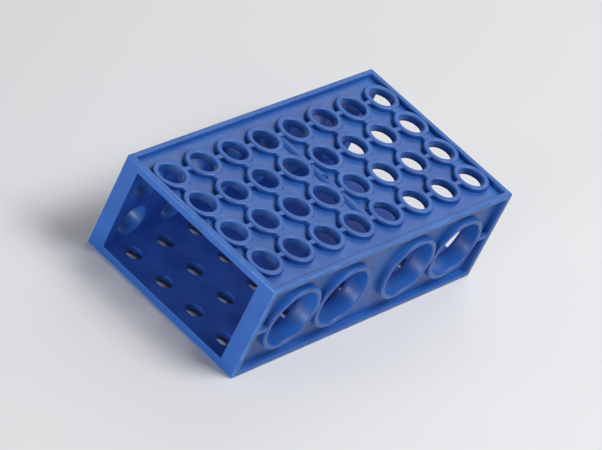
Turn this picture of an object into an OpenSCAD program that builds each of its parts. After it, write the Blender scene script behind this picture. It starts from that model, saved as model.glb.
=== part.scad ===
// Four-way microcentrifuge tube rack: one hollow polypropylene moulding, open at both ends.
// Each of the four long faces holds tubes of one size: 1.5 mL on top, 0.5 mL below,
// 50 mL on the front (-Y) and 15 mL on the back (+Y).
// Units are millimetres. The origin is at the middle of the face that it stands on.

/* [Body] */
// Length of the rack, along X
body_l = 175; // [172:1:230]
// Width of the rack, along Y
body_w = 95; // [86:1:130]
// Height of the rack, along Z
body_h = 52; // [43:0.5:75]
// Rounding of the outer edges
edge_r = 0.8; // [0.4:0.1:1.2]

/* [Walls] */
// Thickness of the top plate, over its rings
top_t = 4.1; // [4:0.1:6]
// Thickness of the bottom plate, over its rings
bottom_t = 4.3; // [4:0.1:6]
// Thickness of the wall that holds 50 mL tubes, over its rings
front_t = 9.4; // [7:0.1:12]
// Thickness of the wall that holds 15 mL tubes, over its rings
back_t = 8.5; // [7:0.1:12]

/* [Panels] */
// Depth of the recessed panel on the top face
top_recess = 2.4; // [1:0.1:2.8]
// Depth of the recessed panel on the bottom face
bottom_recess = 2.4; // [1:0.1:2.8]
// Depth of the recessed panels on the front and back faces
side_recess = 3; // [1:0.1:4]
// Width of the rim along the ends of each face
end_rim = 3.3; // [2:0.1:5]
// Width of the rim along the long edges of each face
long_rim = 3; // [2:0.1:5]

/* [1.5 mL holes] */
// Diameter of a hole
micro_d = 12.4; // [10:0.1:15]
// Thickness of the ring around a hole
micro_ring_t = 2.9; // [2:0.1:3.5]
// Gap between rings along the length
micro_gap_l = 3.4; // [2:0.1:10]
// Gap between rings across the width
micro_gap_w = 1.8; // [1:0.1:8]

/* [0.5 mL holes] */
// Diameter of a hole, in line with the 1.5 mL hole above it
mini_d = 8.4; // [7:0.1:10.4]
// Thickness of the ring around a hole
mini_ring_t = 2.3; // [1.5:0.1:3]

/* [50 mL holes] */
// Diameter of a hole
large_d = 30; // [25:0.1:36]
// Thickness of the ring around a hole
large_ring_t = 2.6; // [2:0.1:3]
// Gap between the two rings of a pair
large_gap = 0.6; // [0.4:0.1:5]
// Gap between one pair of rings and the next
large_pair_gap = 13.2; // [6:0.1:40]

/* [15 mL holes] */
// Diameter of a hole
conical_d = 17; // [14:0.1:20.4]
// Thickness of the ring around a hole
conical_ring_t = 1.7; // [1.2:0.1:2.6]
// Gap between rings along the length
conical_gap_l = 9; // [4:0.1:30]
// Gap between rings up the height
conical_gap_h = 1.6; // [1:0.1:6]

/* [Details] */
// Rounding of the hole mouths
lip_r = 0.8; // [0.4:0.1:1.2]
// Rounding of the 0.5 mL and 15 mL holes where they open inside
inner_lip_r = 0.6; // [0.3:0.1:1]
// Rounding of the outer edge of each ring
ring_edge_r = 0.5; // [0.2:0.1:0.8]
// Width of a rib between rings along the length
rib_w = 2.4; // [1.6:0.1:4]
// Width of a rib between rings across the width or height
cross_rib_w = 4.6; // [2:0.1:6]
// How far a rib's top lies below the rings
rib_drop = 0.3; // [0.2:0.1:0.8]
// Width of the flow leader that crosses the top panel
leader_w = 6.5; // [4:0.5:10]
// Height of the flow leader above the panel
leader_h = 1.2; // [0.5:0.1:1.6]
// Diameter of the gate mark in the middle of the flow leader
gate_d = 3.4; // [2:0.1:5]
// Depth of the gate mark
gate_depth = 0.9; // [0.4:0.1:1.2]

/* [Hidden] */
$fn = 64;

// how far a cutter runs past the face that it opens, and a boss sinks into its panel
overshoot = 1;
sink = 0.5;
// a rounded mouth ends a little before its arc is level with the face
lip_rise = 0.05;
gate_nub_share = 0.35;

micro_ring_r = micro_d / 2 + micro_ring_t;
mini_ring_r = mini_d / 2 + mini_ring_t;
large_ring_r = large_d / 2 + large_ring_t;
conical_ring_r = conical_d / 2 + conical_ring_t;

micro_pitch_l = 2 * micro_ring_r + micro_gap_l;
micro_pitch_w = 2 * micro_ring_r + micro_gap_w;
large_pitch = 2 * large_ring_r + large_gap;
large_pair_pitch = 2 * large_pitch - large_gap + large_pair_gap;
conical_pitch_l = 2 * conical_ring_r + conical_gap_l;
conical_pitch_h = 2 * conical_ring_r + conical_gap_h;

// as many rings as the face has room for, ring_r at each end standing against the rims
function fitting(space, ring_r, pitch) = floor((space - 2 * ring_r) / pitch) + 1;
function row(n, pitch) = [for (i = [0 : n - 1]) (i - (n - 1) / 2) * pitch];
function grid(xs, ys) = [for (x = xs, y = ys) [x, y]];

micro_columns = row(fitting(body_l - end_rim, micro_ring_r, micro_pitch_l), micro_pitch_l);
micro_rows = row(fitting(body_w - 2 * long_rim, micro_ring_r, micro_pitch_w), micro_pitch_w);
conical_columns = row(fitting(body_l - 2 * end_rim, conical_ring_r, conical_pitch_l), conical_pitch_l);
conical_rows = row(fitting(body_h - 2 * long_rim, conical_ring_r, conical_pitch_h), conical_pitch_h);
large_pairs = row(
    fitting(body_l - 2 * end_rim, large_pitch / 2 + large_ring_r, large_pair_pitch), large_pair_pitch);
large_columns = [for (pair = large_pairs, side = [-1, 1]) pair + side * large_pitch / 2];

// A rectangle with round corners, in the middle of the plane.
module rounded_rectangle(a, b, r) {
    square([a - 2 * r, b], center = true);
    square([a, b - 2 * r], center = true);
    for (x = [-1, 1], y = [-1, 1])
        translate([x * (a / 2 - r), y * (b / 2 - r)])
            circle(r);
}

// The outer block, with every edge rounded.
module block() {
    translate([0, 0, body_h / 2])
        intersection() {
            linear_extrude(body_h, center = true)
                rounded_rectangle(body_l, body_w, edge_r);
            rotate([90, 0, 0])
                linear_extrude(body_w, center = true)
                    rounded_rectangle(body_l, body_h, edge_r);
            rotate([90, 0, 90])
                linear_extrude(body_l, center = true)
                    rounded_rectangle(body_w, body_h, edge_r);
        }
}

// The space inside, which runs out through both ends.
module cavity() {
    translate([-body_l / 2 - overshoot, -body_w / 2 + front_t, bottom_t])
        cube([body_l + 2 * overshoot, body_w - front_t - back_t, body_h - bottom_t - top_t]);
}

// Each face is drawn flat, seen from outside, and turned to its place here.
module on_top() {
    translate([0, 0, body_h])
        children();
}

module on_bottom() {
    rotate([180, 0, 0])
        children();
}

module on_front() {
    translate([0, -body_w / 2, body_h / 2])
        rotate([90, 0, 0])
            children();
}

module on_back() {
    translate([0, body_w / 2, body_h / 2])
        rotate([-90, 0, 0])
            children();
}

// The recess of one face, inside its rim.
module recess(face_w, depth) {
    translate([-body_l / 2 + end_rim, -face_w / 2 + long_rim, -depth])
        cube([body_l - 2 * end_rim, face_w - 2 * long_rim, depth + overshoot]);
}

// A ring's outside, level with the rim, with its edge rounded.
module boss(r, depth) {
    translate([0, 0, -depth - sink])
        rotate_extrude() {
            square([r, depth + sink - ring_edge_r]);
            square([r - ring_edge_r, depth + sink]);
            translate([r - ring_edge_r, depth + sink - ring_edge_r])
                circle(ring_edge_r);
        }
}

module bosses(places, r, depth) {
    for (place = places)
        translate(place)
            boss(r, depth);
}

// The part of a mouth's profile that widens it, from the face at y = 0 inwards.
module flare(r, lip) {
    difference() {
        translate([0, -overshoot])
            square([r + lip, overshoot + lip * (1 - lip_rise)]);
        translate([r + lip, lip * (1 - lip_rise)])
            circle(lip);
    }
}

// A through hole with a rounded mouth, and a rounded edge inside where inner_lip is set.
module bore(r, wall, lip, inner_lip = 0) {
    rotate([180, 0, 0])
        rotate_extrude() {
            translate([0, -overshoot])
                square([r, wall + 2 * overshoot]);
            flare(r, lip);
            if (inner_lip > 0)
                translate([0, wall])
                    mirror([0, 1])
                        flare(r, inner_lip);
        }
}

module bores(places, r, wall, lip, inner_lip = 0) {
    for (place = places)
        translate(place)
            bore(r, wall, lip, inner_lip);
}

// A rib along X, of length l and width w, in the middle of the plane.
module rib(l, w, depth) {
    translate([-l / 2, -w / 2, -depth - sink])
        cube([l, w, depth + sink - rib_drop]);
}

// The ribs between neighbours along X.
module ribs_along(xs, ys, w, depth) {
    for (y = ys, i = [1 : 1 : len(xs) - 1])
        translate([(xs[i - 1] + xs[i]) / 2, y])
            rib(xs[i] - xs[i - 1], w, depth);
}

// The ribs between neighbours along Y.
module ribs_across(xs, ys, w, depth) {
    for (x = xs, j = [1 : 1 : len(ys) - 1])
        translate([x, (ys[j - 1] + ys[j]) / 2])
            rotate(90)
                rib(ys[j] - ys[j - 1], w, depth);
}

// A rib that ties the last ring of a row to the end rim on its side, the ring's middle at x.
module rim_rib(x, w, depth) {
    reach = body_l / 2 - end_rim + sink;
    translate([sign(x) * (abs(x) + reach) / 2, 0])
        rib(reach - abs(x), w, depth);
}

// The low rounded bar that led the plastic across the top panel, from the first row to the last.
module flow_leader() {
    arc_r = (leader_w * leader_w / 4 + leader_h * leader_h) / (2 * leader_h);
    length = micro_rows[len(micro_rows) - 1] - micro_rows[0];
    translate([0, 0, -top_recess])
        rotate([90, 0, 0])
            linear_extrude(length, center = true)
                intersection() {
                    translate([0, leader_h - arc_r])
                        circle(arc_r);
                    translate([-leader_w, -sink])
                        square([2 * leader_w, leader_h + 2 * sink]);
                }
}

// The round mark that the moulding gate leaves, with its nub.
module gate_mark() {
    translate([0, 0, -top_recess + leader_h - gate_depth])
        difference() {
            cylinder(d = gate_d, h = gate_depth + overshoot);
            translate([0, 0, -overshoot])
                cylinder(d = gate_d * gate_nub_share, h = overshoot + gate_depth / 2);
        }
}

module top_rings() {
    bosses(grid(micro_columns, micro_rows), micro_ring_r, top_recess);
    ribs_along(micro_columns, micro_rows, rib_w, top_recess);
    ribs_across(micro_columns, micro_rows, cross_rib_w, top_recess);
    flow_leader();
}

module bottom_rings() {
    bosses(grid(micro_columns, micro_rows), mini_ring_r, bottom_recess);
    ribs_along(micro_columns, micro_rows, rib_w, bottom_recess);
    ribs_across(micro_columns, micro_rows, rib_w, bottom_recess);
}

module front_rings() {
    bosses(grid(large_columns, [0]), large_ring_r, side_recess);
    for (pair = large_pairs)
        translate([pair, 0])
            rib(large_pitch, cross_rib_w, side_recess);
    for (x = [large_columns[0], large_columns[len(large_columns) - 1]])
        rim_rib(x, rib_w, side_recess);
}

module back_rings() {
    bosses(grid(conical_columns, conical_rows), conical_ring_r, side_recess);
    ribs_across(conical_columns, conical_rows, cross_rib_w, side_recess);
}

module rack() {
    color("#4a6baf")
        difference() {
            union() {
                difference() {
                    block();
                    on_top() recess(body_w, top_recess);
                    on_bottom() recess(body_w, bottom_recess);
                    on_front() recess(body_h, side_recess);
                    on_back() recess(body_h, side_recess);
                }
                on_top() top_rings();
                on_bottom() bottom_rings();
                on_front() front_rings();
                on_back() back_rings();
            }
            cavity();
            on_top() {
                bores(grid(micro_columns, micro_rows), micro_d / 2, top_t, lip_r);
                gate_mark();
            }
            on_bottom() bores(grid(micro_columns, micro_rows), mini_d / 2, bottom_t, lip_r, inner_lip_r);
            on_front() bores(grid(large_columns, [0]), large_d / 2, front_t, lip_r);
            on_back() bores(grid(conical_columns, conical_rows), conical_d / 2, back_t, lip_r, inner_lip_r);
        }
}

rack();
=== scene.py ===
"""The looks of a four-way laboratory tube rack: satin blue polypropylene on a pale studio floor.

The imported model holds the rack's true sizes. Its one node is replaced here by the same moulding with
the small roundings of the real one: filleted feet on the rings and ribs, and soft outer edges.
Lengths are millimetres until a mesh is finished, and metres from there on.
"""

import logging
import math
from dataclasses import dataclass
from enum import Enum
from typing import Iterable, Sequence

import bmesh
import bpy
from mathutils import Matrix, Vector


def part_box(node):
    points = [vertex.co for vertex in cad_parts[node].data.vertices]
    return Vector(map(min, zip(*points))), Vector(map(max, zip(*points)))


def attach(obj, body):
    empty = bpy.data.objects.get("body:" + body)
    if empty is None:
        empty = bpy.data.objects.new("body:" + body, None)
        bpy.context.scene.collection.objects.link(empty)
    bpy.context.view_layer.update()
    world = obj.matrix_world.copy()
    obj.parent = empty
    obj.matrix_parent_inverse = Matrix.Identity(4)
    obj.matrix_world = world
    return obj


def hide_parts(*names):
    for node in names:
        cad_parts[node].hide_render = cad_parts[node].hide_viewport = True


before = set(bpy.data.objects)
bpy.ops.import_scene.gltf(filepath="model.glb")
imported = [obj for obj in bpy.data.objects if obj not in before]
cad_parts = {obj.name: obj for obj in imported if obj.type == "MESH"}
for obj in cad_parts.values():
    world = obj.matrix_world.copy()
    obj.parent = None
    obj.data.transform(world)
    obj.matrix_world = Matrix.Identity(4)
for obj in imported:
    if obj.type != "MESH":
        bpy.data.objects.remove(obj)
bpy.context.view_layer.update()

MM = 0.001
CROSSING = 0.01  # how far a cutter's rounding stands off the face, so that no two faces coincide
SINK = 0.4  # how far what stands on a panel reaches into it
CLEAR = 1.0  # how far a cutter runs past what it opens

log = logging.getLogger("tube_rack")

Loop = list[Vector]
Place = tuple[float, float]


# ---------------------------------------------------------------- sizes

@dataclass(frozen=True)
class BodySizes:
    """Sizes of the hollow body, in millimetres. The overall ones come from the frame.

    Attributes:
        length: Along X.
        width: Along Y.
        height: Along Z.
        edge_r: Rounding of the outer edges.
        top_t: Thickness of the top plate over its rings.
        bottom_t: The same for the bottom plate.
        front_t: The same for the wall with the 50 mL holes.
        back_t: The same for the wall with the 15 mL holes.
        end_rim: Width of the rim along the ends of each face.
        long_rim: Width of the rim along the long edges of each face.
        mouth_edge_r: Rounding of the edges round the open ends.
        foot_r: Fillet where rings, ribs and rims meet a panel.
        rib_drop: How far the ribs lie below the rings.
        rib_edge_r: Rounding of a rib's upper edges.
        rib_corner_r: Fillet in plan where a rib meets a ring or a rim.
        panel_corner_r: Corner radius of a panel, beyond its fillet.
        cavity_corner_r: Corner radius of the space inside.
    """

    length: float
    width: float
    height: float
    edge_r: float = 0.8
    top_t: float = 4.1
    bottom_t: float = 4.3
    front_t: float = 9.4
    back_t: float = 8.5
    end_rim: float = 3.3
    long_rim: float = 3.0
    mouth_edge_r: float = 0.4
    foot_r: float = 0.2
    rib_drop: float = 0.3
    rib_edge_r: float = 0.3
    rib_corner_r: float = 0.5
    panel_corner_r: float = 0.3
    cavity_corner_r: float = 0.25


@dataclass(frozen=True)
class HoleSizes:
    """Sizes of one kind of hole and of the ring around it, in millimetres.

    Attributes:
        bore_r: Radius of the hole.
        ring_r: Radius of the ring's outside.
        lip_r: Rounding of the mouth.
        inner_lip_r: Rounding where the hole opens inside.
        ring_edge_r: Rounding of the ring's outer edge.
        steps: Straight steps round the circle.
    """

    bore_r: float
    ring_r: float
    lip_r: float = 0.8
    inner_lip_r: float = 0.3
    ring_edge_r: float = 0.75
    steps: int = 48


@dataclass(frozen=True)
class LeaderSizes:
    """Sizes of the low bar that led the plastic across the top panel, and of the gate mark on it.

    Attributes:
        width: The bar's width.
        rise: Its height above the panel.
        gate_r: Radius of the gate mark.
        gate_depth: Depth of the gate mark.
        nub_r: Radius of the broken nub in its middle.
        dish_r: Rounding of the mark's foot.
    """

    width: float = 6.5
    rise: float = 1.2
    gate_r: float = 1.7
    gate_depth: float = 0.9
    nub_r: float = 0.6
    dish_r: float = 0.3


class Face(Enum):
    """The four long faces. Each is drawn flat, seen from outside, and turned to its place."""

    TOP = "top"
    BOTTOM = "bottom"
    FRONT = "front"
    BACK = "back"

    def placement(self, size: BodySizes) -> Matrix:
        """Gives the matrix that takes a face's own plane to its place on the body.

        Args:
            size: The body's sizes.

        Returns:
            A matrix in millimetres.
        """
        place, turn = {
            Face.TOP: ((0, 0, size.height), 0.0),
            Face.BOTTOM: ((0, 0, 0), math.pi),
            Face.FRONT: ((0, -size.width / 2, size.height / 2), math.pi / 2),
            Face.BACK: ((0, size.width / 2, size.height / 2), -math.pi / 2),
        }[self]
        return Matrix.Translation(place) @ Matrix.Rotation(turn, 4, "X")

    def breadth(self, size: BodySizes) -> float:
        """Gives the face's size across the rack's length.

        Args:
            size: The body's sizes.

        Returns:
            Millimetres.
        """
        return size.width if self in (Face.TOP, Face.BOTTOM) else size.height

    def wall(self, size: BodySizes) -> float:
        """Gives the thickness of the wall behind the face.

        Args:
            size: The body's sizes.

        Returns:
            Millimetres.
        """
        return {
            Face.TOP: size.top_t,
            Face.BOTTOM: size.bottom_t,
            Face.FRONT: size.front_t,
            Face.BACK: size.back_t,
        }[self]


def centred(count: int, pitch: float) -> tuple[float, ...]:
    """Gives the places of a row of equal steps about zero.

    Args:
        count: How many.
        pitch: From one to the next.

    Returns:
        The places, in the pitch's unit.
    """
    return tuple((i - (count - 1) / 2) * pitch for i in range(count))


# ---------------------------------------------------------------- mesh code

def circle_loop(radius: float, height: float, steps: int, middle: Place = (0.0, 0.0)) -> Loop:
    """Gives a level circle of points.

    Args:
        radius: Its radius.
        height: Its height.
        steps: How many points.
        middle: Its middle.

    Returns:
        The points in order.
    """
    return [
        Vector((middle[0] + radius * math.cos(t), middle[1] + radius * math.sin(t), height))
        for t in (math.tau * i / steps for i in range(steps))
    ]


def rectangle_loop(
    length: float, breadth: float, radius: float, height: float, corner_steps: int = 4
) -> Loop:
    """Gives a level rectangle of points with round corners, about the origin.

    Args:
        length: Size along X.
        breadth: Size along Y.
        radius: Corner radius.
        height: Its height.
        corner_steps: Steps in each corner.

    Returns:
        The points in order.
    """
    points = []
    corners = ((1, 1, 0), (-1, 1, 1), (-1, -1, 2), (1, -1, 3))
    for side_x, side_y, quarter in corners:
        cx, cy = side_x * (length / 2 - radius), side_y * (breadth / 2 - radius)
        for i in range(corner_steps + 1):
            t = (quarter + i / corner_steps) * math.pi / 2
            points.append(Vector((cx + radius * math.cos(t), cy + radius * math.sin(t), height)))
    return points


def quarter_arc(radius: float, steps: int) -> list[Place]:
    """Gives the (inset, drop) of points on a quarter round, from the flat side to the upright one.

    Args:
        radius: Its radius.
        steps: Steps along it.

    Returns:
        Pairs that run from (radius, 0) to (0, radius).
    """
    turns = (math.pi / 2 * i / steps for i in range(steps + 1))
    return [(radius * (1 - math.sin(t)), radius * (1 - math.cos(t))) for t in turns]


def loft(name: str, loops: Sequence[Loop]) -> bpy.types.Mesh:
    """Joins a stack of loops into a closed mesh, with a flat cap at each end.

    Args:
        name: The mesh's name.
        loops: Loops with the same number of points, all in step.

    Returns:
        The mesh, with its normals outwards.
    """
    shape = bmesh.new()
    rings = [[shape.verts.new(point) for point in loop] for loop in loops]
    for low, high in zip(rings, rings[1:]):
        for i, corner in enumerate(low):
            j = (i + 1) % len(low)
            shape.faces.new((corner, low[j], high[j], high[i]))
    shape.faces.new(rings[0][::-1])
    shape.faces.new(rings[-1])
    bmesh.ops.recalc_face_normals(shape, faces=shape.faces)
    mesh = bpy.data.meshes.new(name)
    shape.to_mesh(mesh)
    shape.free()
    return mesh


def as_object(name: str, mesh: bpy.types.Mesh) -> bpy.types.Object:
    """Puts a mesh into the scene.

    Args:
        name: The object's name.
        mesh: Its mesh.

    Returns:
        The new object, at the origin.
    """
    obj = bpy.data.objects.new(name, mesh)
    bpy.context.scene.collection.objects.link(obj)
    return obj


def drop(obj: bpy.types.Object) -> None:
    """Removes a scratch object and its mesh.

    Args:
        obj: The object.
    """
    mesh = obj.data
    bpy.data.objects.remove(obj)
    bpy.data.meshes.remove(mesh)


def bake(obj: bpy.types.Object) -> None:
    """Gives an object the mesh that its modifiers make, and takes them off.

    Args:
        obj: The object.
    """
    graph = bpy.context.evaluated_depsgraph_get()
    made = bpy.data.meshes.new_from_object(obj.evaluated_get(graph), depsgraph=graph)
    old, name = obj.data, obj.data.name
    obj.modifiers.clear()
    obj.data = made
    bpy.data.meshes.remove(old)
    made.name = name


class Patterner:
    """Repeats an element on a set of points with one node group, made once."""

    def __init__(self) -> None:
        """Makes the node group."""
        tree = bpy.data.node_groups.new("repeat_on_points", "GeometryNodeTree")
        socket = tree.interface.new_socket
        socket("Points", in_out="INPUT", socket_type="NodeSocketGeometry")
        self._element = socket("Element", in_out="INPUT", socket_type="NodeSocketObject").identifier
        self._material = socket("Material", in_out="INPUT", socket_type="NodeSocketMaterial").identifier
        socket("Repeats", in_out="OUTPUT", socket_type="NodeSocketGeometry")
        add = tree.nodes.new
        given, out = add("NodeGroupInput"), add("NodeGroupOutput")
        element, scatter = add("GeometryNodeObjectInfo"), add("GeometryNodeInstanceOnPoints")
        real, paint = add("GeometryNodeRealizeInstances"), add("GeometryNodeSetMaterial")
        for start, end in (
            (given.outputs["Points"], scatter.inputs["Points"]),
            (given.outputs["Element"], element.inputs["Object"]),
            (element.outputs["Geometry"], scatter.inputs["Instance"]),
            (scatter.outputs["Instances"], real.inputs["Geometry"]),
            (real.outputs["Geometry"], paint.inputs["Geometry"]),
            (given.outputs["Material"], paint.inputs["Material"]),
            (paint.outputs["Geometry"], out.inputs["Repeats"]),
        ):
            tree.links.new(start, end)
        self._tree = tree

    def repeat(
        self, name: str, element: bpy.types.Mesh, places: Iterable[Place], material: bpy.types.Material
    ) -> bpy.types.Object:
        """Makes one object with a copy of the element at each place.

        Args:
            name: The new object's name.
            element: The mesh to repeat. It is used up.
            places: Where its origin goes, on the plane z = 0.
            material: The copies' material.

        Returns:
            The new object.
        """
        points = bpy.data.meshes.new(name)
        points.from_pydata([(x, y, 0) for x, y in places], [], [])
        obj, source = as_object(name, points), as_object(name + "_element", element)
        step = obj.modifiers.new("repeat", "NODES")
        step.node_group = self._tree
        step[self._element] = source
        step[self._material] = material
        bake(obj)
        drop(source)
        return obj


# ---------------------------------------------------------------- the rack

@dataclass(frozen=True)
class HoleField:
    """The holes on one face, with the rings around them and the ribs between those.

    Attributes:
        face: The face they are on.
        hole: The sizes of one.
        columns: Their places along the rack.
        rows: Their places across the face.
        recess: Depth of the panel around the rings.
        rib_w: Width of a rib along the rack, or 0 for none.
        cross_rib_w: Width of a rib across it, or 0 for none.
        ribbed_columns: Pairs of neighbours that a rib along the rack joins.
        rim_rib_w: Width of the ribs that tie the end rings to the end rims, or 0 for none.
    """

    face: Face
    hole: HoleSizes
    columns: tuple[float, ...]
    rows: tuple[float, ...]
    recess: float
    rib_w: float
    cross_rib_w: float
    ribbed_columns: tuple[tuple[int, int], ...]
    rim_rib_w: float = 0.0

    def places(self) -> list[Place]:
        """Gives the middle of every hole.

        Returns:
            Places on the face's plane.
        """
        return [(x, y) for x in self.columns for y in self.rows]


@dataclass(frozen=True)
class RackBody:
    """The moulding: a hollow block with a recessed panel, rings and ribs on each long face."""

    size: BodySizes
    fields: tuple[HoleField, ...]
    leader: LeaderSizes = LeaderSizes()
    round_steps: int = 3

    def build(self, patterner: Patterner, material: bpy.types.Material) -> bpy.types.Object:
        """Makes the rack.

        Args:
            patterner: Repeats rings, ribs and bores.
            material: The plastic.

        Returns:
            One finished object, in metres.
        """
        rack = self._block(material)
        for field in self.fields:
            self._cut(rack, self._on_face(field.face, as_object("recess", self._recess(field))))
        for field in self.fields:
            for part in self._relief(field, patterner, material):
                self._join(rack, self._on_face(field.face, part))
        top = self.fields[0]
        self._join(rack, self._on_face(top.face, as_object("leader", self._leader(top))))
        self._cut(rack, self._cavity())
        for field in self.fields:
            bores = patterner.repeat("bores", self._bore(field), field.places(), material)
            self._cut(rack, self._on_face(field.face, bores))
        self._cut(rack, self._on_face(top.face, as_object("gate_mark", self._gate_mark(top))))
        self._finish(rack)
        return rack

    def _on_face(self, face: Face, obj: bpy.types.Object) -> bpy.types.Object:
        """Turns something drawn flat to its place on a face, and gives it back."""
        obj.data.transform(face.placement(self.size))
        return obj

    def _combine(self, rack: bpy.types.Object, tool: bpy.types.Object, operation: str) -> None:
        """Changes the rack by another solid, which is used up.

        Args:
            rack: The rack so far.
            tool: The other solid.
            operation: UNION or DIFFERENCE.
        """
        step = rack.modifiers.new(tool.name, "BOOLEAN")
        step.operation, step.solver, step.object = operation, "MANIFOLD", tool
        bake(rack)
        drop(tool)

    def _join(self, rack: bpy.types.Object, tool: bpy.types.Object) -> None:
        """Adds a solid to the rack."""
        self._combine(rack, tool, "UNION")

    def _cut(self, rack: bpy.types.Object, tool: bpy.types.Object) -> None:
        """Takes a solid out of the rack."""
        self._combine(rack, tool, "DIFFERENCE")

    def _block(self, material: bpy.types.Material) -> bpy.types.Object:
        """Makes the outer block, with all its edges rounded.

        Args:
            material: The plastic.

        Returns:
            The block, in millimetres.
        """
        s = self.size
        shape = bmesh.new()
        bmesh.ops.create_cube(shape, size=1.0)
        bmesh.ops.scale(shape, vec=(s.length, s.width, s.height), verts=shape.verts)
        bmesh.ops.translate(shape, vec=(0, 0, s.height / 2), verts=shape.verts)
        bmesh.ops.bevel(
            shape, geom=shape.edges[:], offset=s.edge_r,
            segments=self.round_steps, profile=0.5, affect="EDGES",
        )
        mesh = bpy.data.meshes.new("tube_rack")
        shape.to_mesh(mesh)
        shape.free()
        mesh.materials.append(material)
        return as_object("tube_rack", mesh)

    def _recess(self, field: HoleField) -> bpy.types.Mesh:
        """Makes the cutter of one face's recess: filleted at its foot, rounded at the rim's inner edge.

        Args:
            field: The face's holes.

        Returns:
            The cutter, drawn flat.
        """
        s, edge_r = self.size, field.hole.ring_edge_r
        length, breadth = s.length - 2 * s.end_rim, field.face.breadth(s) - 2 * s.long_rim
        foot = [(-inset, -field.recess + lift) for inset, lift in quarter_arc(s.foot_r, 2)]
        brow = [(inset, CROSSING - down) for inset, down in reversed(quarter_arc(edge_r, self.round_steps))]
        profile = foot + brow + [(edge_r, CLEAR)]
        corner_r = s.foot_r + s.panel_corner_r
        loops = [
            rectangle_loop(length + 2 * grow, breadth + 2 * grow, corner_r + grow, height)
            for grow, height in profile
        ]
        return loft("recess", loops)

    def _boss(self, field: HoleField) -> bpy.types.Mesh:
        """Makes a ring's outside, with a fillet at its foot and its outer edge rounded.

        Args:
            field: The ring's field.

        Returns:
            The ring about the origin, without its hole.
        """
        hole, foot_r = field.hole, self.size.foot_r
        foot = [(inset, -field.recess + lift) for inset, lift in quarter_arc(foot_r, 2)]
        brow = [(-inset, -down) for inset, down in reversed(quarter_arc(hole.ring_edge_r, self.round_steps))]
        profile = [(foot_r, -field.recess - SINK)] + foot + brow
        return loft("boss", [circle_loop(hole.ring_r + grow, height, hole.steps) for grow, height in profile])

    def _rib(self, field: HoleField, length: float, width: float, to_rim: bool = False) -> bpy.types.Mesh:
        """Makes a straight rib with small fillets in plan where it meets a ring, and at its foot.

        Args:
            field: The rings' field.
            length: From the first ring's middle to the next one's, or to the rim.
            width: The rib's width.
            to_rim: Whether its far end meets the rim rather than a ring.

        Returns:
            The rib along X, about its middle.
        """
        s, corner_r = self.size, self.size.rib_corner_r
        inside_ring, inside_rim = 0.8, 0.5
        ring_r = field.hole.ring_r - 2 * CROSSING
        foot = [(inset, -field.recess + lift) for inset, lift in quarter_arc(s.foot_r, 2)]
        edge = reversed(quarter_arc(s.rib_edge_r, self.round_steps))
        brow = [(-inset, -s.rib_drop - down) for inset, down in edge]
        profile = [(s.foot_r, -field.recess - SINK)] + foot + brow
        centre_y = width / 2 + corner_r
        beside_ring = math.sqrt((ring_r + corner_r) ** 2 - centre_y**2)
        loops = []
        for grow, height in profile:
            r = corner_r - grow
            sides = []
            for meets_rim in (False, to_rim):
                near = corner_r if meets_rim else beside_ring
                turn = math.pi / 2 if meets_rim else math.atan2(beside_ring, centre_y)
                end = -inside_rim if meets_rim else ring_r * inside_ring
                turns = [turn * i / 3 for i in (3, 2, 1, 0)]
                arc = [(near - r * math.sin(t), centre_y - r * math.cos(t)) for t in turns]
                sides.append([(end, arc[0][1])] + arc)
            left = [Vector((x - length / 2, y, height)) for x, y in sides[0]]
            right = [Vector((length / 2 - x, y, height)) for x, y in reversed(sides[1])]
            upper = left + right
            lower = [Vector((p.x, -p.y, p.z)) for p in reversed(upper)]
            loops.append(upper + lower)
        return loft("rib", loops)

    def _relief(
        self, field: HoleField, patterner: Patterner, material: bpy.types.Material
    ) -> list[bpy.types.Object]:
        """Makes the rings and ribs of one face, in sets whose members don't touch each other.

        Args:
            field: The face's holes.
            patterner: Repeats them.
            material: The plastic.

        Returns:
            The sets, drawn flat.
        """
        parts = []
        for start in (0, 1):
            places = [(x, y) for i, x in enumerate(field.columns) for y in field.rows if i % 2 == start]
            parts.append(patterner.repeat("rings", self._boss(field), places, material))
        spans = {}
        for i, j in field.ribbed_columns:
            gap = round(field.columns[j] - field.columns[i], 3)
            spans.setdefault(gap, []).append((field.columns[i] + field.columns[j]) / 2)
        for gap, middles in spans.items():
            places = [(x, y) for x in middles for y in field.rows]
            parts.append(patterner.repeat("ribs", self._rib(field, gap, field.rib_w), places, material))
        if field.cross_rib_w and len(field.rows) > 1:
            pitch = field.rows[1] - field.rows[0]
            rib = self._rib(field, pitch, field.cross_rib_w)
            rib.transform(Matrix.Rotation(math.pi / 2, 4, "Z"))
            places = [(x, y + pitch / 2) for x in field.columns for y in field.rows[:-1]]
            parts.append(patterner.repeat("cross_ribs", rib, places, material))
        if field.rim_rib_w:
            last = field.columns[-1]
            reach = self.size.length / 2 - self.size.end_rim - last
            for turn in (0, math.pi):
                rib = self._rib(field, reach, field.rim_rib_w, to_rim=True)
                rib.transform(Matrix.Rotation(turn, 4, "Z") @ Matrix.Translation((last + reach / 2, 0, 0)))
                parts.append(as_object("rim_rib", rib))
        return parts

    def _leader(self, field: HoleField) -> bpy.types.Mesh:
        """Makes the low round-topped bar that crosses the top panel, from the first row to the last.

        Args:
            field: The top's holes.

        Returns:
            The bar, drawn flat.
        """
        bar = self.leader
        radius = (bar.width**2 / 4 + bar.rise**2) / (2 * bar.rise)
        half_turn, steps = math.asin(bar.width / 2 / radius), 12
        turns = [half_turn * (1 - 2 * i / steps) for i in range(steps + 1)]
        arc = [(radius * math.sin(t), bar.rise - radius * (1 - math.cos(t))) for t in turns]
        outline = [(bar.width / 2, -SINK)] + arc + [(-bar.width / 2, -SINK)]
        ends = (field.rows[0], field.rows[-1])
        return loft("leader", [[Vector((x, y, z - field.recess)) for x, z in outline] for y in ends])

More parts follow.
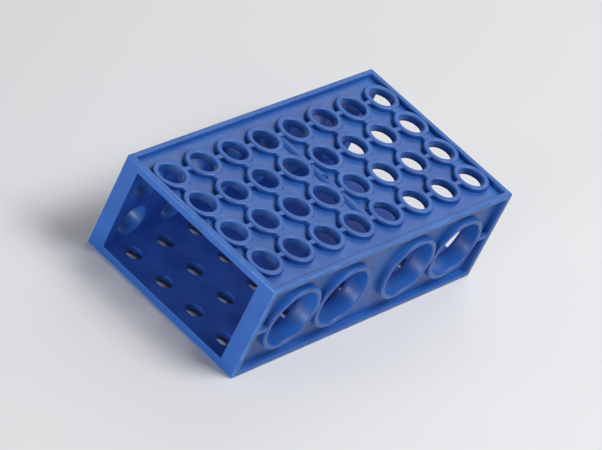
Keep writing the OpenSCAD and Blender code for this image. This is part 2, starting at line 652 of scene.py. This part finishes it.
    def _gate_mark(self, field: HoleField) -> bpy.types.Mesh:
        """Makes the cutter of the gate mark: a shallow dish with a small nub in its middle.

        Args:
            field: The top's holes.

        Returns:
            The cutter, drawn flat.
        """
        mark, steps = self.leader, 32
        nub_top, nub_foot, flare, over = 0.45, 0.05, 0.6, 0.4
        floor_z = mark.rise - field.recess - mark.gate_depth
        rim_z = floor_z + mark.gate_depth
        foot = quarter_arc(mark.dish_r, 3)
        dish = [(mark.gate_r - mark.dish_r + inset, floor_z + lift) for lift, inset in reversed(foot)]
        nub = [(mark.nub_r * 0.7, floor_z + mark.gate_depth * nub_top), (mark.nub_r, floor_z + nub_foot)]
        rim = [(mark.gate_r, rim_z - nub_foot), (mark.gate_r + flare, rim_z + over)]
        profile = nub + dish + rim
        return loft("gate_mark", [circle_loop(radius, height, steps) for radius, height in profile])

    def _cavity(self) -> bpy.types.Object:
        """Makes the cutter of the space inside, with rounded edges where it leaves both ends.

        Returns:
            The cutter, in its place.
        """
        s, r = self.size, self.size.mouth_edge_r
        depth, breadth = s.height - s.top_t - s.bottom_t, s.width - s.front_t - s.back_t
        brow = [(inset, s.length / 2 - down) for inset, down in reversed(quarter_arc(r, self.round_steps))]
        half = brow + [(r, s.length / 2 + CLEAR)]
        profile = [(grow, -x) for grow, x in reversed(half)] + half
        loops = [
            rectangle_loop(depth + 2 * grow, breadth + 2 * grow, s.cavity_corner_r, x, corner_steps=2)
            for grow, x in profile
        ]
        mesh = loft("cavity", loops)
        mesh.transform(
            Matrix.Translation((0, (s.front_t - s.back_t) / 2, s.bottom_t + depth / 2))
            @ Matrix.Rotation(math.pi / 2, 4, "Y")
        )
        return as_object("cavity", mesh)

    def _bore(self, field: HoleField) -> bpy.types.Mesh:
        """Makes the cutter of a hole, with rounded edges outside and inside.

        Args:
            field: The hole's field.

        Returns:
            The cutter about the origin.
        """
        hole, wall = field.hole, field.face.wall(self.size)
        inner = [(inset, -wall - CROSSING + down) for inset, down in quarter_arc(hole.inner_lip_r, 2)]
        lip = reversed(quarter_arc(hole.lip_r, self.round_steps + 1))
        outer = [(inset, CROSSING - down) for inset, down in lip]
        profile = [(hole.inner_lip_r, -wall - CLEAR)] + inner + outer + [(hole.lip_r, CLEAR)]
        return loft("bore", [circle_loop(hole.bore_r + grow, height, hole.steps) for grow, height in profile])

    def _finish(self, rack: bpy.types.Object) -> None:
        """Cleans the mesh, takes it to metres and sets its shading.

        Args:
            rack: The rack, in millimetres.
        """
        doubles, slivers, sharp = 0.004, 0.002, 35.0
        shape = bmesh.new()
        shape.from_mesh(rack.data)
        bmesh.ops.remove_doubles(shape, verts=shape.verts, dist=doubles)
        bmesh.ops.dissolve_degenerate(shape, edges=shape.edges, dist=slivers)
        shape.to_mesh(rack.data)
        shape.free()
        rack.data.transform(Matrix.Scale(MM, 4))
        rack.data.shade_smooth()
        rack.data.set_sharp_from_angle(angle=math.radians(sharp))
        step = rack.modifiers.new("flat_faces", "WEIGHTED_NORMAL")
        step.mode, step.weight, step.keep_sharp = "FACE_AREA", 80, True
        bake(rack)
        log.info("rack: %d faces", len(rack.data.polygons))


def rack_body(box: tuple[Vector, Vector]) -> RackBody:
    """Works out the rack from the frame's box.

    Args:
        box: The CAD body's lowest and highest corners, in metres.

    Returns:
        The rack's description.
    """
    low, high = (Vector(corner) / MM for corner in box)
    size = BodySizes(*(high - low))
    micro = HoleSizes(bore_r=6.2, ring_r=9.1)
    mini = HoleSizes(bore_r=4.2, ring_r=6.5, inner_lip_r=0.5, steps=40)
    large = HoleSizes(bore_r=15.0, ring_r=17.6, steps=96)
    conical = HoleSizes(bore_r=8.5, ring_r=10.2, inner_lip_r=0.5, steps=64)
    micro_columns = centred(8, 2 * micro.ring_r + 3.4)
    micro_rows = centred(4, 2 * micro.ring_r + 1.8)
    neighbours = tuple((i, i + 1) for i in range(len(micro_columns) - 1))
    pair_l = 4 * large.ring_r + 0.6
    large_columns = tuple(
        pair + side for pair in centred(2, pair_l + 13.2) for side in centred(2, pair_l - 2 * large.ring_r)
    )
    conical_columns = centred(6, 2 * conical.ring_r + 9.0)
    conical_rows = centred(2, 2 * conical.ring_r + 1.6)
    return RackBody(
        size,
        (
            HoleField(Face.TOP, micro, micro_columns, micro_rows, 2.4, 2.4, 4.6, neighbours),
            HoleField(Face.BOTTOM, mini, micro_columns, micro_rows, 2.4, 2.4, 2.4, neighbours),
            HoleField(
                Face.FRONT, large, large_columns, (0.0,), 3.0, 4.6, 0.0, ((0, 1), (2, 3)), rim_rib_w=2.4
            ),
            HoleField(Face.BACK, conical, conical_columns, conical_rows, 3.0, 0.0, 4.6, ()),
        ),
    )


# ---------------------------------------------------------------- materials

def rgba(code: str) -> tuple[float, float, float, float]:
    """Turns an sRGB hex colour into the linear one that nodes take.

    Args:
        code: Six hex digits.

    Returns:
        Red, green, blue and alpha.
    """
    parts = (int(code[i : i + 2], 16) / 255 for i in (0, 2, 4))
    linear = (c / 12.92 if c <= 0.04045 else ((c + 0.055) / 1.055) ** 2.4 for c in parts)
    return (*linear, 1.0)


class NodeBench:
    """Adds nodes to a material's tree, with their settings and inputs in one call each."""

    def __init__(self, name: str) -> None:
        """Starts a material.

        Args:
            name: The material's name.
        """
        self.material = bpy.data.materials.new(name)
        self.material.use_nodes = True
        self._tree = self.material.node_tree
        self.shader = self._tree.nodes["Principled BSDF"]

    def add(self, kind: str, settings: dict[str, object] | None = None, **inputs: object) -> bpy.types.Node:
        """Adds a node.

        Args:
            kind: Its type, without the ShaderNode prefix.
            settings: Its properties.
            **inputs: Its inputs by name, with _ for a space, or by number after an n. A socket is linked.

        Returns:
            The node.
        """
        made = self._tree.nodes.new("ShaderNode" + kind)
        for key, value in (settings or {}).items():
            setattr(made, key, value)
        for key, value in inputs.items():
            where = int(key[1:]) if key[1:].isdigit() else key.replace("_", " ")
            self.feed(made.inputs[where], value)
        return made

    def feed(self, socket: bpy.types.NodeSocket, value: object) -> None:
        """Sets an input to a value, or links it to an output.

        Args:
            socket: The input.
            value: A number, a colour or an output socket.
        """
        if isinstance(value, bpy.types.NodeSocket):
            self._tree.links.new(value, socket)
        else:
            socket.default_value = value

    def math(self, operation: str, first: object, second: object = 0.0) -> bpy.types.NodeSocket:
        """Adds a sum.

        Args:
            operation: What it does.
            first: Its first number.
            second: Its second number.

        Returns:
            Its result.
        """
        return self.add("Math", {"operation": operation}, n0=first, n1=second).outputs["Value"]

    def blend(self, share: object, first: object, second: object) -> bpy.types.NodeSocket:
        """Adds a mix of two colours.

        Args:
            share: How much of the second there is.
            first: The first colour.
            second: The second colour.

        Returns:
            The mixed colour.
        """
        return self.add("Mix", {"data_type": "RGBA"}, n0=share, n6=first, n7=second).outputs[2]

    def outside(
        self, place: Sequence[bpy.types.NodeSocket], half: tuple[float, ...]
    ) -> list[bpy.types.NodeSocket]:
        """Measures how far a point is outside a box on each axis, less than 0 if it is inside.

        Args:
            place: The point from the box's middle, one socket an axis, in metres.
            half: Half the box's size, in millimetres.

        Returns:
            The three distances.
        """
        return [
            self.math("SUBTRACT", self.math("ABSOLUTE", at), reach * MM) for at, reach in zip(place, half)
        ]

    def noise(self, place: bpy.types.NodeSocket, grain: float, detail: float = 2.0) -> bpy.types.NodeSocket:
        """Adds a noise whose lumps are about one size.

        Args:
            place: Where it is read, in metres.
            grain: The lumps' size, in millimetres.
            detail: How many finer layers it has.

        Returns:
            Its value, about 0.5.
        """
        return self.add("TexNoise", Vector=place, Scale=1 / (grain * MM), Detail=detail).outputs["Fac"]

    def between(
        self, value: bpy.types.NodeSocket, low: float, high: float, start: float = 0.3, end: float = 0.7
    ) -> bpy.types.NodeSocket:
        """Maps a value smoothly from one range onto another.

        Args:
            value: What is mapped.
            low: The result at the start.
            high: The result at the end.
            start: Where it starts.
            end: Where it ends.

        Returns:
            The mapped value.
        """
        settings = {"interpolation_type": "SMOOTHSTEP"}
        return self.add("MapRange", settings, n0=value, n1=start, n2=end, n3=low, n4=high).outputs["Result"]


@dataclass(frozen=True)
class PlasticFinish:
    """The look of one moulded plastic. Lengths are millimetres.

    Attributes:
        deep: Its colour on the outer faces, where it is densest.
        light: Its colour there, where it is palest.
        core_shade_deep: A deeper, more saturated copy of its colour on the inner faces, painted shade for the
            hollow where little light reaches, where it is densest.
        core_shade_light: That painted shade colour, where it is palest.
        core_margin: How far inside the block, on each axis, the box lies that holds the inner faces.
        core_edge: How far the change from outer to inner face takes.
        edge_highlight: A paler blue along the block's edges, a painted highlight.
        edge_highlight_w: How far from an edge the painted highlight reaches.
        edge_highlight_patch: Size of the patches where the painted highlight is stronger or weaker.
        edge_polish: How much less rough it is there.
        cloud: Size of the cloudy patches.
        sheen_low: Least roughness of the outer faces.
        sheen_high: Their greatest roughness.
        core_rough: Roughness of the matt inner faces.
        grain: Size of the mould's blasted grain.
        grain_depth: Its depth.
        sink: Size of the broad hollows left by shrinkage.
        sink_depth: Their depth.
        gate_r: Radius of the smooth spot at the gate.
    """

    deep: str = "1B51A0"
    light: str = "225CAC"
    core_shade_deep: str = "1345A3"
    core_shade_light: str = "194EAD"
    core_margin: tuple[float, float, float] = (0.2, 7.3, 2.7)
    core_edge: float = 0.9
    edge_highlight: str = "4583CC"
    edge_highlight_w: float = 1.0
    edge_highlight_patch: float = 7.0
    edge_polish: float = 0.08
    cloud: float = 22.0
    sheen_low: float = 0.36
    sheen_high: float = 0.46
    core_rough: float = 0.68
    grain: float = 0.5
    grain_depth: float = 0.012
    sink: float = 16.0
    sink_depth: float = 0.12
    gate_r: float = 1.7


def moulded_polypropylene(body: BodySizes, finish: PlasticFinish = PlasticFinish()) -> bpy.types.Material:
    """Makes the rack's plastic: blue polypropylene from a finely blasted mould.

    Its cloudiness comes from pigment that flowed unevenly, its broad hollows from shrinkage, and the
    smooth spot on the top from the gate. The deeper blue of the inner faces is painted shade for the
    hollow, and the pale lines along the block's edges are a painted highlight.

    Args:
        body: The rack's sizes, which tell where its edges and inner faces are.
        finish: Its colours and sizes.

    Returns:
        The material.
    """
    bench = NodeBench("moulded_polypropylene")
    place = bench.add("TexCoord").outputs["Object"]
    cloud = bench.between(bench.noise(place, finish.cloud, detail=4.0), 0.0, 1.0)
    outer = bench.blend(cloud, rgba(finish.deep), rgba(finish.light))
    # the inner faces' colour: a deeper copy of the plastic's colour, painted shade for the hollow
    inner = bench.blend(cloud, rgba(finish.core_shade_deep), rgba(finish.core_shade_light))

    # the inner faces are told by their box: they take the deeper colour, painted shade for the hollow, and
    # the matt roughness of the mould's core
    body_half = (body.length / 2, body.width / 2, body.height / 2)
    core_half = tuple(half - margin for half, margin in zip(body_half, finish.core_margin))
    middle = (0, 0, body_half[2] * MM)
    from_middle = bench.add("VectorMath", {"operation": "SUBTRACT"}, n0=place, n1=middle).outputs[0]
    apart = bench.add("SeparateXYZ", Vector=from_middle).outputs
    along, across, up = bench.outside(apart, core_half)
    gap = bench.math("MAXIMUM", bench.math("MAXIMUM", along, across), up)
    core = bench.between(gap, 1.0, 0.0, -finish.core_edge * MM, 0.0)

    # near an edge of the block two of the three gaps are small, so the middle one is measured; the band this
    # gives along every outer edge gets a painted highlight, paler in patches, and a little less roughness
    along, across, up = bench.outside(apart, body_half)
    least, most = bench.math("MINIMUM", along, across), bench.math("MAXIMUM", along, across)
    edge = bench.math("MAXIMUM", least, bench.math("MINIMUM", most, up))
    edge_band = bench.between(edge, 0.0, 1.0, -finish.edge_highlight_w * MM, -finish.edge_highlight_w * MM * 0.3)
    edge_highlight = bench.math("MULTIPLY", edge_band, bench.between(bench.noise(place, finish.edge_highlight_patch), 0.3, 1.0))
    # the inner faces take their painted shade colour, and the edges the paler painted highlight over it
    colour = bench.blend(edge_highlight, bench.blend(core, outer, inner), rgba(finish.edge_highlight))
    bench.feed(bench.shader.inputs["Base Color"], colour)

    # the gate's spot is measured from the vertical axis
    flat = bench.add("CombineXYZ", X=apart["X"], Y=apart["Y"])
    away = bench.add("VectorMath", {"operation": "LENGTH"}, n0=flat.outputs[0]).outputs["Value"]
    off_gate = bench.between(away, 0.35, 1.0, finish.gate_r * MM * 0.9, finish.gate_r * MM * 1.2)
    satin = bench.between(bench.noise(place, finish.cloud / 3), finish.sheen_low, finish.sheen_high)
    matt = bench.math("MULTIPLY", core, finish.core_rough - finish.sheen_high)
    rough = bench.math("ADD", bench.math("MULTIPLY", satin, off_gate), matt)
    polish = bench.math("MULTIPLY", edge_highlight, finish.edge_polish)
    bench.feed(bench.shader.inputs["Roughness"], bench.math("SUBTRACT", rough, polish))

    hollows = bench.add(
        "Bump", Strength=1.0, Distance=finish.sink_depth * MM, Height=bench.noise(place, finish.sink)
    )
    grain = bench.add(
        "Bump", Strength=1.0, Distance=finish.grain_depth * MM,
        Height=bench.noise(place, finish.grain), Normal=hollows.outputs["Normal"],
    )
    bench.feed(bench.shader.inputs["Normal"], grain.outputs["Normal"])
    return bench.material


# ---------------------------------------------------------------- studio

@dataclass(frozen=True)
class CameraSetup:
    """Where the camera stands.

    Attributes:
        azimuth: Degrees that its view is turned from +Y towards -X.
        elevation: Degrees above the floor.
        roll: Degrees that it is turned about its view, so that the rack lies on a slope in the picture.
        distance: From its aim, in metres.
        aim: Its aim, from the middle of the object's box, in millimetres.
        lens: Focal length, in millimetres.
    """

    azimuth: float = 296.33
    elevation: float = 34.314
    roll: float = 27.081
    distance: float = 1.64494
    aim: tuple[float, float, float] = (-1.84, -1.14, -3.16)
    lens: float = 216.34

    def build(self, middle: Vector) -> bpy.types.Object:
        """Makes the camera and sets it as the scene's.

        Args:
            middle: The middle of the object's box, in metres.

        Returns:
            The camera.
        """
        azimuth, elevation = math.radians(self.azimuth), math.radians(self.elevation)
        level = math.cos(elevation)
        view = Vector((-math.sin(azimuth) * level, math.cos(azimuth) * level, -math.sin(elevation)))
        lens = bpy.data.cameras.new("camera")
        lens.lens = self.lens
        camera = bpy.data.objects.new("camera", lens)
        roll = Matrix.Rotation(math.radians(self.roll), 4, "Z")
        turn = view.to_track_quat("-Z", "Y").to_matrix().to_4x4() @ roll
        stand = middle + Vector(self.aim) * MM - view * self.distance
        camera.matrix_world = Matrix.Translation(stand) @ turn
        bpy.context.scene.collection.objects.link(camera)
        bpy.context.scene.camera = camera
        return camera


def softbox(name: str, place: tuple[float, float, float], aim: Vector, size: float, power: float) -> None:
    """Makes a square area lamp that faces its aim.

    Args:
        name: Its name.
        place: Where it hangs, in metres.
        aim: What it faces.
        size: Its side, in metres.
        power: Its power in watts.
    """
    lamp = bpy.data.lights.new(name, "AREA")
    lamp.size, lamp.energy = size, power
    obj = bpy.data.objects.new(name, lamp)
    obj.location = place
    obj.rotation_euler = (aim - Vector(place)).to_track_quat("-Z", "Y").to_euler()
    bpy.context.scene.collection.objects.link(obj)


def floor() -> None:
    """Makes the plain pale floor."""
    half = 4.0
    mesh = bpy.data.meshes.new("floor")
    corners = [(-half, -half, 0), (half, -half, 0), (half, half, 0), (-half, half, 0)]
    mesh.from_pydata(corners, [], [(0, 1, 2, 3)])
    obj = as_object("floor", mesh)
    material = bpy.data.materials.new("pale_floor")
    material.use_nodes = True
    shader = material.node_tree.nodes["Principled BSDF"]
    shader.inputs["Base Color"].default_value = rgba("DDDEE0")
    shader.inputs["Roughness"].default_value = 0.6
    mesh.materials.append(material)


def studio(middle: Vector) -> None:
    """Sets up the camera, lamps, world and floor.

    Args:
        middle: The middle of the object's box, in metres.
    """
    CameraSetup().build(middle)
    softbox("far", (0.96, 0.48, 0.78), middle, 0.8, 3.2)
    softbox("key", (0.35, -0.45, 1.1), middle, 0.6, 13.5)
    softbox("near", (-0.8, -0.2, 0.15), middle, 0.3, 2.8)
    softbox("left", (-1.3, 0.5, 0.15), middle, 0.3, 5)
    world = bpy.data.worlds.new("studio")
    world.use_nodes = True
    world.node_tree.nodes["Background"].inputs["Color"].default_value = (1, 1, 1, 1)
    world.node_tree.nodes["Background"].inputs["Strength"].default_value = 0.12
    bpy.context.scene.world = world
    floor()


def main() -> None:
    """Builds the rack and the studio."""
    logging.basicConfig(level=logging.INFO)
    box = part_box("rack")
    body = rack_body(box)
    rack = body.build(Patterner(), moulded_polypropylene(body.size))
    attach(rack, "root")
    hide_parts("rack")
    studio((Vector(box[0]) + Vector(box[1])) / 2)
    bpy.context.scene.view_settings.view_transform = "Standard"


if __name__ == "__main__":
    main()
